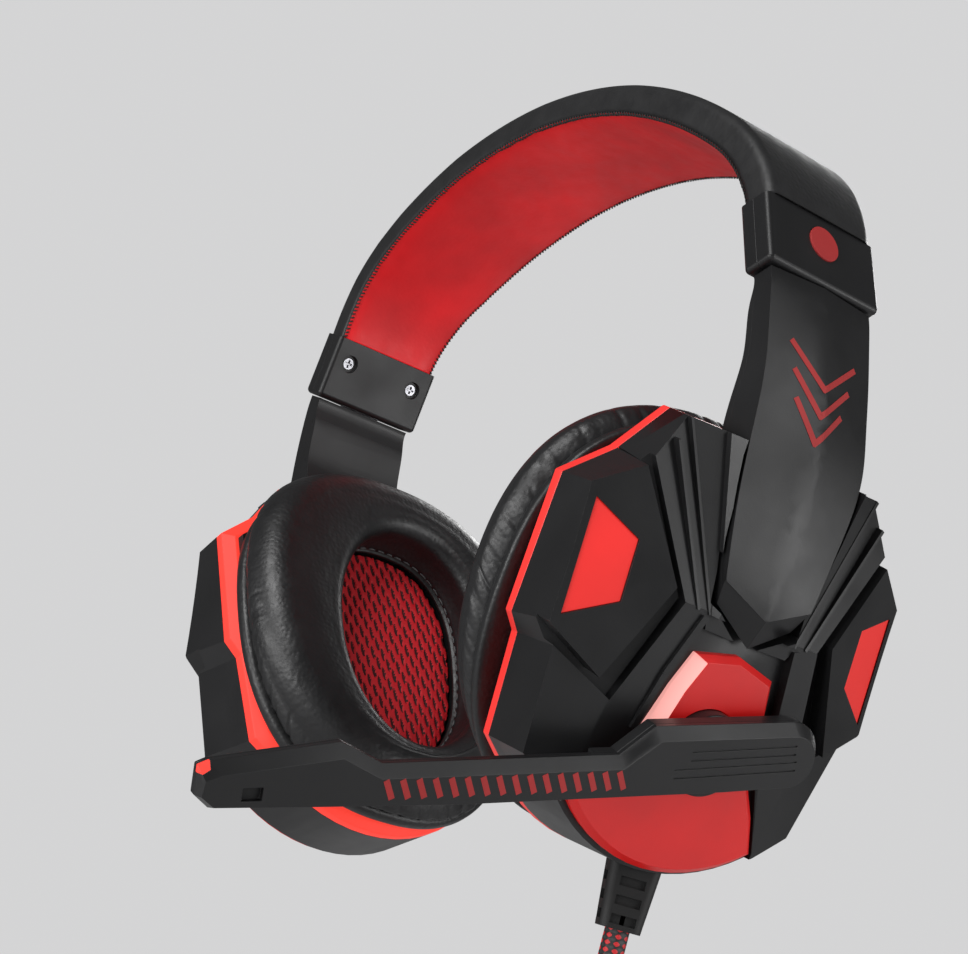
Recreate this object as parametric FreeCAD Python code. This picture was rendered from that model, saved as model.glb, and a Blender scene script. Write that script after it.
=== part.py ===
import FreeCAD, Part
import os
from math import atan, copysign, cos, degrees, pi, radians, sin, sqrt, tan

# Gaming headset. Millimetres, +Z up, +X the wearer's left, -Y the front.
# Origin: the middle of the band lining, where the head carries the headset.
V = FreeCAD.Vector
os.makedirs("parts", exist_ok=True)

# a distance past every edge of a cup, for cutting blocks
FAR = 60.0
EVERYWHERE = [(-FAR, -FAR), (FAR, -FAR), (FAR, FAR), (-FAR, FAR)]

# headband: two tangent arcs each side, in the XZ plane
CROWN_R = 118.0
CROWN_TURN = 35.2
SHOULDER_R = 33.8
BAND_TURN = 72.84
BAND_T = 9.0
LINING_T = 1.3
FOAM_T = 4.2
SPRING_T = 0.8
SPRING_HALF_W = 12.5
SPRING_TAIL = 9.0
COVER_WALL = 2.0
BAND_HALF_WIDTHS = [(0, 19.9), (34, 19.6), (56, 18.75), (66, 18.0), (74, 16.9), (81, 15.6), (96, 15.4)]

# clamp at each end of the band
CLAMP_L = 17.7
CLAMP_T = 8.5
CLAMP_HALF_W = 16.5
CLAMP_SPLIT = 4.2
CLAMP_EDGE = 1.3
SCREW_Y = 10.7
SCREW_DOWN = 6.4
SCREW_HEAD_R = 1.6
SCREW_RECESS_R = 2.4
SCREW_RECESS = 1.0
SCREW_SHANK_R = 1.0
SCREW_HEAD_T = 1.2
SCREW_L = 4.2
CROSS = (2.2, 0.5, 0.6)
BADGE_R = 4.2
BADGE_T = 0.8
BADGE_DOWN = CLAMP_L / 2 - 2.0

# steel rail that carries the arm
SLIDE_DIR = V(0.1, 0, -sqrt(1 - 0.1 ** 2))
RAIL_START = V(90.4, 0, -54.0)
RAIL_UP = 8.0
RAIL_L = 35.0
RAIL_W = 12.0
RAIL_T = 1.5
SLIDE_GAP = 0.3
SLOT_SPARE = 1.0

# cup frame: u towards the back, v up along the cup, n outwards
CUP_X = 59.085
CUP_Y = 2.631
CUP_Z = -135.0
TOE_IN = 23.605

# arm sections: ridge x, ridge z, inward x, inward z, depth, edge drop, half width, middle y
ARM_TOP_GAP = 0.4
ARM_TOP = (7.9, 6.5, 1.2, 14.8)
UPPER_ARM = [
    (95.3, -60.5, -0.98, -0.199, 7.8, 1.6, 14.9, 0.2),
    (96.5, -67.0, -0.99, -0.141, 8.9, 2.1, 15.0, 0.6),
    (97.4, -73.8, -0.999, -0.045, 9.8, 2.5, 15.1, 1.1),
    (97.8, -80.5, -1.0, 0.0, 11.6, 2.9, 15.4, 1.7),
]
# arm sections inside the cup: ridge v, ridge n, inward v, inward n, depth, edge drop, half width
LOWER_ARM = [
    (55.5, 17.5, -0.39, -0.921, 12.8, 3.2, 16.2),
    (41.0, 20.5, -0.2, -0.98, 9.7, 2.2, 15.1),
    (30.0, 22.7, 0.0, -1.0, 7.6, 1.7, 13.3),
    (19.4, 24.9, 0.0, -1.0, 4.9, 1.9, 10.7),
    (11.0, 26.6, 0.0, -1.0, 2.8, 1.2, 9.5),
]
ARM_CUT = [(-30, 31), (-11.3, 19.4), (0, 12.7), (11.3, 19.4), (30, 31), (30, 140), (-30, 140)]
RAMP_TOP_SIDE = (11.7, 24.0, 22.0)
RAMP_TOP_MID = (0.0, 19.4, 24.9)
RAMP_LOW_MID = (0.0, 12.7, 23.1)
RAMP_ZONE = [(0, 5), (20, 5), (20, 27.5), (11.7, 24.0), (0, 19.4)]
COVER_DEEP = 4.0
COVER_WIDE = 25.0
COVER_T = 1.6
COVER_TOP_Z = -62.0
COVER_END_V = 21.0
ARM_SCREW_R = 0.9
ARM_SCREW_HEAD_R = 1.7
ARM_SCREW_HEAD_T = 1.0
ARM_SCREW_L = 4.5
ARM_SCREW_AT = (29.0, 15.9)
ARM_SCREW_DIR = V(0, 0.397, 0.918)
ARM_SCREW_U = 7.0

# tilt pin
PIN_V = 38.0
PIN_N = 13.5
PIN_R = 1.5
PIN_HALF_L = 18.0
RUN_GAP = 0.05

# shell: outline at the rim and the same corners at the outer face
CHIN_STEPS = 7


def chin(half_u, v_end, v_mid):
    """Front half of the round lower edge, from its end to the middle."""
    fall = v_end - v_mid
    r = (half_u ** 2 + fall ** 2) / (2 * fall)
    sweep = atan(half_u / (r - fall))
    points = []
    for i in range(CHIN_STEPS + 1):
        a = sweep * (1 - i / CHIN_STEPS)
        points.append((-r * sin(a), v_mid + r - r * cos(a)))
    return points


RIM = [(0, 52.3), (-28, 51.2), (-36, 39.1), (-45.7, 30.3), (-42.4, -0.3), (-38.9, -3.9), (-34.6, -26.1)]
RIM += chin(29, -30.5, -42.6)
FACE_N = 24.0
FACE = [(0, 52.3), (-26.7, 51.7), (-34.2, 38.9), (-43.4, 32.8), (-44.8, 4.7), (-41.1, -0.2), (-37.8, -22.7)]
FACE += chin(26, -29.5, -38.5)
WALL = 2.0
PLATEAU_N = 22.2
PLATEAU_V = 17.0
SHOULDER_U = 26.8
SHOULDER_FALL = 0.38
PANEL = [(-35.1, 39), (-22.3, 19), (-31.6, -3.2), (-60, 10.9), (-60, 50)]
PANEL_PLANE = (34.34, 0.365, -0.218)
GROOVE = [(-44.9, 55.0), (-34, 41.6), (-18.9, 17), (-26, -7), (-40, -1.4), (-60, 6.6), (-60, 10.9),
          (-31.6, -3.2), (-22.3, 19), (-35.1, 39), (-44.6, 53.8)]
GROOVE_FLOOR = [(-35, 39.5, 9.8), (-20.5, 18, 18.6), (-29, -5, 18.6)]
WINDOW = [(-42.8, 29.2), (-32.2, 24.7), (-32, 12), (-42.5, 5.2)]
WINDOW_DROP = 0.4
WINDOW_T = 1.4
WINDOW_FOOT_N = 4.0
FAN_A = [(-18.9, 17), (-12.1, 16.4), (-31.3, 60), (-45.3, 60)]
FAN_A_TOP = [(-34, 41.6, 12.0), (-18.9, 17, 22.0), (-27.5, 51.4, 8.1)]
FAN_B = [(-12.1, 16.4), (-12.1, 21.4), (-21.5, 60), (-31.3, 60)]
FAN_B_TOP = [(-27.5, 51.4, 9.3), (-12.1, 16.4, 22.3), (-19.7, 52.5, 11.3)]
FAN_C = [(-12.1, 16.4), (0, 16.4), (0, 60), (-21.5, 60), (-12.1, 21.4)]
FAN_C_TOP = [(-19.7, 52.5, 12.9), (-12.1, 21.4, 22.3), (-17.2, 48.6, 16.5)]
FAN_RIBS = [((-30, 46.2, 12.0), (-15.3, 16.6, 22.3)), ((-27.5, 51.4, 9.3), (-12.1, 16.4, 22.3))]
RIB_W = 0.7
RIB_H = 0.3
RIB_FOOT = 3.0
RIB_SPAN = 5.0
RECESS = [(0, 13.0), (-11.4, 13.2), (-12.4, 15.4), (-15.9, 2), (-17.3, -10.8), (-22.4, -20.2), (-26.2, -28.4)]
RECESS_N = 20.5
SIDE_RIB = [(-13.0, 15.7), (-16.5, 2), (-18.1, -10.8)]
SIDE_RIB_W = 1.5
SIDE_RIB_N = 23.0
LOWER_PANEL = [(0, 10.5), (-10.6, 8.1), (-13, 0), (-15.5, -12.5), (-21.6, -20.9)] + chin(25.4, -28.5, -38.1)
LOWER_PANEL_N = 23.6
LOWER_BEVEL = 1.4
LIGHT_BAR = [(-10.6, 8.1), (-13, 0), (-15.5, -12.5), (-12.6, -11.0), (-10.2, 0), (-8.0, 7.1)]
LIGHT_BAR_TOP = [(-10.6, 8.1, 21.4), (-13, 0, 21.4), (-8.0, 7.1, 23.5)]
CHANNEL = [(17.9, 58), (17.1, 48.6), (16.2, 43), (15.3, 38), (14.5, 32), (13.2, 25), (12.7, 18.7), (0, 11.0)]
CHANNEL_PLANE = (3.3 + 0.432 * 52.3, 0, -0.432)
HOLLOW_SIDE = (9.2 + 0.4 * 45, 0.4, 0)
HOLLOW_TOP = (4.9 + 0.27 * 52, 0, -0.27)
HOLLOW_N = 18.3
HOLLOW_MID = 19.5
HOLLOW_LOW = 10.0

# rim parts, from the shell inwards
STRIP_TOP = 1.6
STRIP_EDGE = 1.0
STRIP_DEPTH = 3.2
STRIP_BEVEL = 2.8
STRIP_INNER = 6.5
BAFFLE_INSET = 3.6
BAFFLE_N = -5.3
DRIVER_V = 5.0
DRIVER_R = 20.0
DRIVER_OPEN_R = 17.0
MAGNET_R = 9.0
DRIVER_BACK_N = 3.0
DRIVER_FLOOR_N = 1.0
MAGNET_BACK_N = 6.5
CONE_R = 17.5
CONE_N = -3.0
CONE_H = 2.4
CONE_WALL = 0.6
BOSSES = [(-27, 35.5, 11.0), (27, 35.5, 11.0), (-23, -22, 19.0), (23, -22, 19.0)]
BOSS_R = 2.8
CUP_SCREW_R = 1.2
CUP_SCREW_HEAD_R = 2.2
CUP_SCREW_HEAD_T = 1.2
CUP_SCREW_END_N = 4.0
BOARD = (26.0, 9.0)
BOARD_V = -25.5
BOARD_T = 1.6
MESH_T = 2.0
MESH_GAP = 0.3
# cushion outlines: half width, half height, middle v, roundness, widening towards the top, middle u
CUSHION_FOOT = (43.4, 46.5, 4.4, 2.4, 0.1, 0.0)
CUSHION_CREST = (42.9, 45.5, 7.4, 2.25, 0.1, -2.2)
HOLE_FOOT = (22.0, 29.75, 5.25, 2.5, 0.0, 0.0)
HOLE_CREST = (24.0, 31.5, 6.0, 2.3, 0.0, 0.0)
CUSHION_N = -22.0
CUSHION_ROUND = 8.5
HOLE_ROUND = 4.0
LIP_N = -9.0
SEAM_N = -10.0
ROUND_STEPS = 4
OUTLINE_STEPS = 40

# microphone
HUB_V = -10.4
HUB_R = 9.0
HUB_N = 26.7
HUB_GAP = 0.2
POST_R = 3.0
POST_N = 30.2
PIVOT_HEAD_R = 4.0
PIVOT_HEAD_T = 1.0
PIVOT_SHANK_R = 1.2
PIVOT_ROOM = 0.4
BOOM_N = 27.0
BOOM_SPLIT_N = 30.0
BOOM_FACE_N = 33.0
BOOM_SAG = 17.3
BOOM_THIN_S = 30.0
BOOM_THIN_N = 29.2
BOOM = [(-16.4, 8.9), (17.5, 8.8), (25, 3.0), (77, 2.8), (86, 7.3), (111.5, 4.4), (113.4, 3.6), (113.4, -2.0),
        (110.4, -4.6), (88, -5.3), (60, -6.0), (0, -5.9), (-16.7, -5.5)]
BOOM_FACE = [(-16.4, 6.4), (16.8, 6.2), (24.6, 0.6), (77.6, 0.4), (86.0, 4.7), (109.0, 2.2), (112.2, 1.2),
             (112.6, -1.8), (110.0, -3.9), (88, -4.6), (60, -5.3), (0, -5.2), (-16.5, -4.8)]
BOOM_REAR = (-23.6, 1.7)
BOOM_FACE_REAR = (-22.2, 0.8)
BOOM_EDGE_N = 31.0
BOOM_LINES = [((9.0, 2.9), (-17.0, 3.4)), ((12.5, -0.8), (-17.6, -0.1))]
BOOM_LINE_W = 2.2
BOOM_LINE_RIM = 0.35
BOOM_LINE_DEPTH = 0.35
PORT_S = 103.0
PORT_T = -1.6
PORT_HALF = (2.0, 1.3)
PORT_DEPTH = 1.0
CAPSULE_UP = 0.3
TIP = [(111.2, 5.6), (114.4, 4.6), (114.4, 2.2), (112.6, 2.2), (111.2, 3.0)]
TIP_UP = 0.5
MIC_R = 1.9

# cable
BOOT_TOP = V(56.1, 7.4, -176.8)
BOOT_DIR = V(-0.12, 0, -sqrt(1 - 0.12 ** 2))
BOOT_L = 14.5
BOOT_W = (12.0, 9.4)
BOOT_T = (8.6, 7.2)
BOOT_SPIN = 28.0
BOOT_ROUND = 2.2
SLOT = (5.6, 2.0, 1.0)
SLOT_FIRST = 4.4
SLOT_PITCH = 4.0
NOTCH_L = 4.4
NOTCH_UP = 0.4
BOOT_IN = 3.0
LEAD_IN = 5.0
LEAD_OUT = 14.0
CORD_R = 2.75
COIL_R = 30.25
COIL_TUBE_R = 10.6
COIL_Z = -250.0
LEAD_BEND_Z = -205.0
TAIL_SIDE = 13.6
TAIL_IN = 4.9
TAIL_L = 50.0
TAIL_START = (5.6, 10.0)
TAIL_TURN_Z = 12.0
TIE_T = 1.2
TIE_W = 8.0
PLUG = (16.0, 8.0, 38.0)
USB = (12.0, 4.5, 12.0)
PLUG_ROUND = 1.5
USB_WALL = 0.4
USB_BACK = 1.0


# ---- helpers ----
def height(level, u, v):
    if isinstance(level, tuple):
        return level[0] + level[1] * u + level[2] * v
    return level


def lower(plane, drop):
    return (plane[0] - drop, plane[1], plane[2])


def plane3(points):
    (u1, v1, n1), (u2, v2, n2), (u3, v3, n3) = points
    det = (u2 - u1) * (v3 - v1) - (u3 - u1) * (v2 - v1)
    b = ((n2 - n1) * (v3 - v1) - (n3 - n1) * (v2 - v1)) / det
    c = ((u2 - u1) * (n3 - n1) - (u3 - u1) * (n2 - n1)) / det
    return (n1 - b * u1 - c * v1, b, c)


def polygon(points):
    return Part.Face(Part.makePolygon(points + [points[0]]))


def block(outline, low, high):
    """Prism on an outline in the cup frame; either end may be a sloping plane."""
    bottom = [V(u, v, height(low, u, v)) for u, v in outline]
    top = [V(u, v, height(high, u, v)) for u, v in outline]
    faces = [polygon(bottom), polygon(top)]
    for i in range(len(outline)):
        j = (i + 1) % len(outline)
        faces.append(polygon([bottom[i], bottom[j], top[j], top[i]]))
    solid = Part.Solid(Part.Shell(faces))
    if solid.Volume < 0:
        solid.reverse()
    return solid


def both(half):
    """Front half outline of a cup, closed with its mirror."""
    return half + [(-u, v) for u, v in reversed(half) if abs(u) > 1e-6]


def mirrored(shape):
    return shape.mirror(V(0, 0, 0), V(1, 0, 0))


def union(shapes):
    return shapes[0].multiFuse(shapes[1:]).removeSplitter()


def inset(outline, d):
    face = polygon([V(u, v, 0) for u, v in outline])
    wire = face.makeOffset2D(-d, 2).OuterWire
    return [(vertex.X, vertex.Y) for vertex in wire.OrderedVertexes]


def section(outline, n):
    return Part.makePolygon([V(u, v, n) for u, v in outline + [outline[0]]])


def strip(points, width, low, high):
    """Straight bars of one width joined along a line of points."""
    bars = []
    for (u1, v1), (u2, v2) in zip(points, points[1:]):
        length = sqrt((u2 - u1) ** 2 + (v2 - v1) ** 2)
        side_u = (v1 - v2) / length * width / 2
        side_v = (u2 - u1) / length * width / 2
        corners = [(u1 + side_u, v1 + side_v), (u2 + side_u, v2 + side_v),
                   (u2 - side_u, v2 - side_v), (u1 - side_u, v1 - side_v)]
        bars.append(block(corners, low, high))
    return bars


def cylinder(r, u, v, low, high):
    return Part.makeCylinder(r, high - low, V(u, v, low))


def tube(points, r):
    """Round cord: straight runs with tangent arcs between them."""
    start = points[0]
    edges = []
    for a, b, c in zip(points, points[1:], points[2:]):
        back = (a - b).normalize()
        ahead = (c - b).normalize()
        turn = back.negative().getAngle(ahead)
        cut = 0.45 * min((a - b).Length, (c - b).Length)
        radius = cut / tan(turn / 2)
        p = b + back * cut
        q = b + ahead * cut
        bisector = (back + ahead).normalize()
        middle = b + bisector * (radius / cos(turn / 2) - radius)
        edges += [Part.LineSegment(start, p).toShape(), Part.Arc(p, middle, q).toShape()]
        print("cord bend radius", round(radius, 1), "turn", round(degrees(turn), 1))
        start = q
    edges.append(Part.LineSegment(start, points[-1]).toShape())
    path = Part.Wire(edges)
    ring = Part.Wire(Part.Circle(points[0], points[1] - points[0], r).toShape())
    solid = path.makePipeShell([ring], True, False)
    print("cord length", round(path.Length, 1), "volume ratio", round(solid.Volume / (pi * r * r * path.Length), 4))
    return solid


toe = radians(TOE_IN)
V_UP = V(sin(toe), 0, cos(toe))
N_OUT = V(cos(toe), 0, -sin(toe))
CUP = FreeCAD.Placement(FreeCAD.Matrix(0, V_UP.x, N_OUT.x, CUP_X, 1, 0, 0, CUP_Y, 0, V_UP.z, N_OUT.z, CUP_Z,
                                       0, 0, 0, 1))


def to_cup(shape):
    placed = shape.copy()
    placed.Placement = CUP.multiply(shape.Placement)
    return placed


def save(name, shapes):
    shape = shapes[0] if len(shapes) == 1 else Part.makeCompound(shapes)
    shape.exportStep("parts/" + name + ".step")
    print(name, len(shape.Solids), round(shape.Volume, 1), shape.isValid())


def save_sides(name, shapes, sides=("left", "right")):
    for side in sides:
        save(name + "_" + side, shapes if side == "left" else [mirrored(s) for s in shapes])


# ---- headband ----
crown = radians(CROWN_TURN)
band_end = radians(BAND_TURN)
DOWN = V(cos(band_end), 0, -sin(band_end))
OUT = V(sin(band_end), 0, cos(band_end))


def arch_point(turn, offset):
    if abs(turn) <= crown:
        return V((CROWN_R + offset) * sin(turn), 0, -CROWN_R + (CROWN_R + offset) * cos(turn))
    side = 1 if turn > 0 else -1
    x = side * (CROWN_R - SHOULDER_R) * sin(crown) + (SHOULDER_R + offset) * sin(turn)
    z = -CROWN_R + (CROWN_R - SHOULDER_R) * cos(crown) + (SHOULDER_R + offset) * cos(turn)
    return V(x, 0, z)


def arch_edges(offset, tail):
    stops = [-band_end, -crown, crown, band_end]
    edges = []
    for a, b in zip(stops, stops[1:]):
        edges.append(Part.Arc(arch_point(a, offset), arch_point((a + b) / 2, offset),
                              arch_point(b, offset)).toShape())
    ends = [arch_point(-band_end, offset), arch_point(band_end, offset)]
    if tail:
        tips = [ends[0] + V(-DOWN.x, 0, DOWN.z) * tail, ends[1] + DOWN * tail]
        edges = [Part.LineSegment(tips[0], ends[0]).toShape()] + edges
        edges.append(Part.LineSegment(ends[1], tips[1]).toShape())
        ends = tips
    return edges, ends


def arch(low, high, half_width, tail=0.0):
    inner, inner_ends = arch_edges(low, tail)
    outer, outer_ends = arch_edges(high, tail)
    caps = [Part.LineSegment(inner_ends[i], outer_ends[i]).toShape() for i in (0, 1)]
    face = Part.Face(Part.Wire(Part.__sortEdges__(inner + outer + caps)))
    face.translate(V(0, -half_width, 0))
    return face.extrude(V(0, 2 * half_width, 0))


def band_plan(less):
    right = [V(x, w - less, 0) for x, w in BAND_HALF_WIDTHS]
    back = [V(-p.x, p.y, 0) for p in reversed(right[1:])] + right
    front = [V(p.x, -p.y, 0) for p in back]
    curves = []
    for row in (back, front):
        curve = Part.BSplineCurve()
        curve.interpolate(row)
        curves.append(curve.toShape())
    ends = [Part.LineSegment(back[i], front[i]).toShape() for i in (0, -1)]
    face = Part.Face(Part.Wire(Part.__sortEdges__(curves + ends)))
    face.translate(V(0, 0, -80))
    return face.extrude(V(0, 0, 120))


full = band_plan(0)
inside = band_plan(COVER_WALL)
widest = BAND_HALF_WIDTHS[0][1] + 1
foam_top = LINING_T + FOAM_T
spring_top = foam_top + SPRING_T
lining = arch(0, LINING_T, widest).common(full)
foam = arch(LINING_T, foam_top, widest).common(inside)
spring = arch(foam_top, spring_top, SPRING_HALF_W, SPRING_TAIL)
cover = arch(LINING_T, BAND_T, widest).common(full).cut(foam)
cover = cover.cut(spring)
save("headband_lining", [lining])
save("headband_foam", [foam])
save("headband_spring", [spring])
save("headband_cover", [cover])

CLAMP = FreeCAD.Placement(FreeCAD.Matrix(DOWN.x, 0, OUT.x, arch_point(band_end, 0).x, 0, 1, 0, 0,
                                         DOWN.z, 0, OUT.z, arch_point(band_end, 0).z, 0, 0, 0, 1))


def in_clamp(shape):
    placed = shape.copy()
    placed.Placement = CLAMP.multiply(shape.Placement)
    return placed


RAIL_SIDE = V(-SLIDE_DIR.z, 0, SLIDE_DIR.x)


def rail_bar(gap, up, down):
    box = Part.makeBox(up + down, RAIL_W + 2 * gap, RAIL_T + 2 * gap,
                       V(-up, -RAIL_W / 2 - gap, -RAIL_T / 2 - gap))
    box.Placement = FreeCAD.Placement(FreeCAD.Matrix(
        SLIDE_DIR.x, 0, RAIL_SIDE.x, RAIL_START.x, 0, 1, 0, 0, SLIDE_DIR.z, 0, RAIL_SIDE.z, RAIL_START.z,
        0, 0, 0, 1))
    return box


def clamp_screw(y):
    head = Part.makeCylinder(SCREW_HEAD_R, SCREW_HEAD_T, V(SCREW_DOWN, y, SCREW_RECESS))
    shank = Part.makeCylinder(SCREW_SHANK_R, SCREW_L, V(SCREW_DOWN, y, SCREW_RECESS))
    long, wide, deep = CROSS
    cross = [Part.makeBox(long, wide, deep, V(SCREW_DOWN - long / 2, y - wide / 2, SCREW_RECESS)),
             Part.makeBox(wide, long, deep, V(SCREW_DOWN - wide / 2, y - long / 2, SCREW_RECESS))]
    return head.fuse(shank).removeSplitter().cut(cross[0]).cut(cross[1])


rail = rail_bar(0, RAIL_UP, RAIL_L)
clamp = Part.makeBox(CLAMP_L, 2 * CLAMP_HALF_W, CLAMP_T, V(0, -CLAMP_HALF_W, 0))
clamp = clamp.makeFillet(CLAMP_EDGE, [e for e in clamp.Edges if not any(v.X < 1e-6 for v in e.Vertexes)
                                       or abs(e.tangentAt(e.FirstParameter).x) > 0.9])
badge = Part.makeCylinder(BADGE_R, BADGE_T, V(BADGE_DOWN, 0, CLAMP_T - BADGE_T / 2))
screws = []
holes = []
for y in (-SCREW_Y, SCREW_Y):
    screws.append(clamp_screw(y))
    holes.append(Part.makeCylinder(SCREW_RECESS_R, SCREW_RECESS, V(SCREW_DOWN, y, 0)))
    holes.append(Part.makeCylinder(SCREW_HEAD_R, SCREW_HEAD_T, V(SCREW_DOWN, y, SCREW_RECESS)))
    holes.append(Part.makeCylinder(SCREW_SHANK_R, SCREW_L, V(SCREW_DOWN, y, SCREW_RECESS)))
clamp = in_clamp(clamp.cut(badge))
for solid in [in_clamp(h) for h in holes] + [rail, spring]:
    clamp = clamp.cut(solid)
split = in_clamp(Part.makeBox(2 * FAR, 2 * FAR, FAR, V(-FAR, -FAR, CLAMP_SPLIT)))
clamp_outer = clamp.common(split)
clamp_inner = clamp.cut(split)
screws = [in_clamp(s) for s in screws]
save_sides("clamp_outer", [clamp_outer])
save_sides("clamp_inner", [clamp_inner])
save("clamp_screws", screws + [mirrored(s) for s in screws])
save_sides("badge", [in_clamp(badge)])
save_sides("slider_rail", [rail])


# ---- arms ----
def arm_section(ridge, inward, depth, drop, half_w, mid_y):
    edge = ridge + inward * drop
    deep = ridge + inward * depth
    side = V(0, half_w, 0)
    middle = V(0, mid_y, 0)
    points = [deep - side, edge - side, ridge, edge + side, deep + side]
    points = [p + middle for p in points]
    return Part.makePolygon(points + [points[0]])


def local_point(v, n):
    return CUP.multVec(V(0, v, n))


arm_start = arch_point(band_end, 0) + DOWN * (CLAMP_L + ARM_TOP_GAP)
sections = [arm_section(arm_start + OUT * ARM_TOP[0], OUT * -1, *ARM_TOP[1:], 0)]
stations = []
for x, z, dx, dz, depth, drop, half_w, mid_y in UPPER_ARM:
    stations.append((V(x, 0, z), V(dx, 0, dz).normalize(), depth, drop, half_w, mid_y))
for v, n, dv, dn, depth, drop, half_w in LOWER_ARM:
    ridge = local_point(v, n)
    ridge.y = 0
    stations.append((ridge, (V_UP * dv + N_OUT * dn).normalize(), depth, drop, half_w, CUP_Y))
for station in stations:
    sections.append(arm_section(*station))
arm = Part.makeLoft(sections, True, False)
if arm.Volume < 0:
    arm.reverse()
arm = arm.common(to_cup(block(ARM_CUT, -FAR, FAR)))
for side in (-1, 1):
    ramp = plane3([(side * RAMP_TOP_SIDE[0],) + RAMP_TOP_SIDE[1:], RAMP_TOP_MID, RAMP_LOW_MID])
    wedge = [(side * u, v) for u, v in RAMP_ZONE]
    arm = arm.cut(to_cup(block(wedge, ramp, 80)))
slot = rail_bar(SLIDE_GAP, 0, RAIL_L + SLOT_SPARE)
slot = slot.fuse(rail_bar(SLIDE_GAP, RAIL_UP, 0))
arm = arm.cut(slot)
pin_bore = to_cup(Part.makeCylinder(PIN_R + RUN_GAP, 60, V(-30, PIN_V, PIN_N), V(1, 0, 0)))
wires = []
for ridge, inward, depth, drop, half_w, mid_y in stations[:-1]:
    near = ridge + inward * (depth - COVER_T)
    far = ridge + inward * (depth + COVER_DEEP)
    side = V(0, COVER_WIDE, 0)
    corners = [near - side, near + side, far + side, far - side]
    wires.append(Part.makePolygon(corners + [corners[0]]))
skin = Part.makeLoft(wires, True, False)
below_top = Part.makeBox(2 * FAR, 2 * FAR, 3 * FAR, V(0, -FAR, COVER_TOP_Z - 3 * FAR))
above_end = to_cup(block([(-FAR, COVER_END_V), (FAR, COVER_END_V), (FAR, 2 * FAR), (-FAR, 2 * FAR)],
                         -FAR, FAR))
arm_inner = arm.common(skin).common(below_top).common(above_end)
arm_outer = arm.cut(arm_inner)
arm_outer = arm_outer.cut(pin_bore)
arm_inner = arm_inner.cut(pin_bore)
arm_screws = []
for u in (-ARM_SCREW_U, ARM_SCREW_U):
    at = V(u, *ARM_SCREW_AT)
    head = to_cup(Part.makeCylinder(ARM_SCREW_HEAD_R, ARM_SCREW_HEAD_T, at, ARM_SCREW_DIR))
    shank = to_cup(Part.makeCylinder(ARM_SCREW_R, ARM_SCREW_L, at, ARM_SCREW_DIR))
    access = to_cup(Part.makeCylinder(ARM_SCREW_HEAD_R, COVER_DEEP, at, ARM_SCREW_DIR * -1))
    screw = head.fuse(shank).removeSplitter()
    arm_outer = arm_outer.cut(screw)
    arm_inner = arm_inner.cut(screw).cut(access)
    arm_screws.append(screw)
print("arm", arm_outer.isValid(), arm_inner.isValid(), len(arm_outer.Solids), len(arm_inner.Solids))
save_sides("arm_outer", [arm_outer])
save_sides("arm_inner", [arm_inner])
save_sides("arm_screws", arm_screws)


# ---- cups ----
def outline_loft(inset_by, low, high):
    """Solid between the rim outline and the face outline, moved in by one wall."""
    rim = inset(both(RIM), inset_by) if inset_by else both(RIM)
    face = inset(both(FACE), inset_by) if inset_by else both(FACE)
    rim = aligned(rim)
    face = aligned(face)
    return Part.makeLoft([section(rim, low), section(face, high)], True, True)


def aligned(outline):
    """Start an outline at its upper middle point and run it towards the front."""
    start = max(range(len(outline)), key=lambda i: outline[i][1] - abs(outline[i][0]) * 9)
    turned = outline[start:] + outline[:start]
    return turned if turned[1][0] < 0 else [turned[0]] + turned[:0:-1]


def sided(outline, low, high):
    solid = block(outline, low, high)
    return [solid, mirrored(solid)]


envelope = outline_loft(0, 0.0, FACE_N)
print("envelope", envelope.isValid(), round(envelope.Volume))
shoulder = (PLATEAU_N + SHOULDER_FALL * SHOULDER_U, SHOULDER_FALL, 0)
plateau = block(both([(0, PLATEAU_V), (-SHOULDER_U, PLATEAU_V), (-SHOULDER_U, -FAR), (0, -FAR)]),
                -1, PLATEAU_N)
solids = [plateau]
solids += sided([(-SHOULDER_U, PLATEAU_V), (-FAR, PLATEAU_V), (-FAR, -FAR), (-SHOULDER_U, -FAR)],
                -1, shoulder)
solids += sided(FAN_A, -1, plane3(FAN_A_TOP))
solids += sided(FAN_B, -1, plane3(FAN_B_TOP))
solids += sided(FAN_C, -1, plane3(FAN_C_TOP))
body = union(solids)
body = body.cut(union(sided(GROOVE, -2, FAR))).fuse(union(sided(GROOVE, -1, plane3(GROOVE_FLOOR))))
body = body.cut(union(sided(PANEL, -2, FAR))).fuse(union(sided(PANEL, -1, PANEL_PLANE)))
body = body.removeSplitter().common(envelope)
for (u1, v1, n1), (u2, v2, n2) in FAN_RIBS:
    rib_top = plane3([(u1, v1, n1 + RIB_H), (u2, v2, n2 + RIB_H), (u1 + RIB_SPAN, v1, n1 + RIB_H)])
    rib = strip([(u1, v1), (u2, v2)], RIB_W, lower(rib_top, RIB_FOOT), rib_top)
    body = body.fuse(rib + [mirrored(r) for r in rib]).removeSplitter()
body = body.cut(block(both(RECESS + [(RECESS[-1][0], -FAR), (0, -FAR)]), RECESS_N, FAR))
side_rib = strip(SIDE_RIB, SIDE_RIB_W, RECESS_N - 1, SIDE_RIB_N)
body = body.fuse(side_rib + [mirrored(r) for r in side_rib]).removeSplitter()
body = body.cut(block(EVERYWHERE, -2, STRIP_TOP))
body = body.cut(block(CHANNEL + [(-u, v) for u, v in reversed(CHANNEL[:-1])], CHANNEL_PLANE, FAR))
print("body", body.isValid(), len(body.Solids), round(body.Volume))

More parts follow.
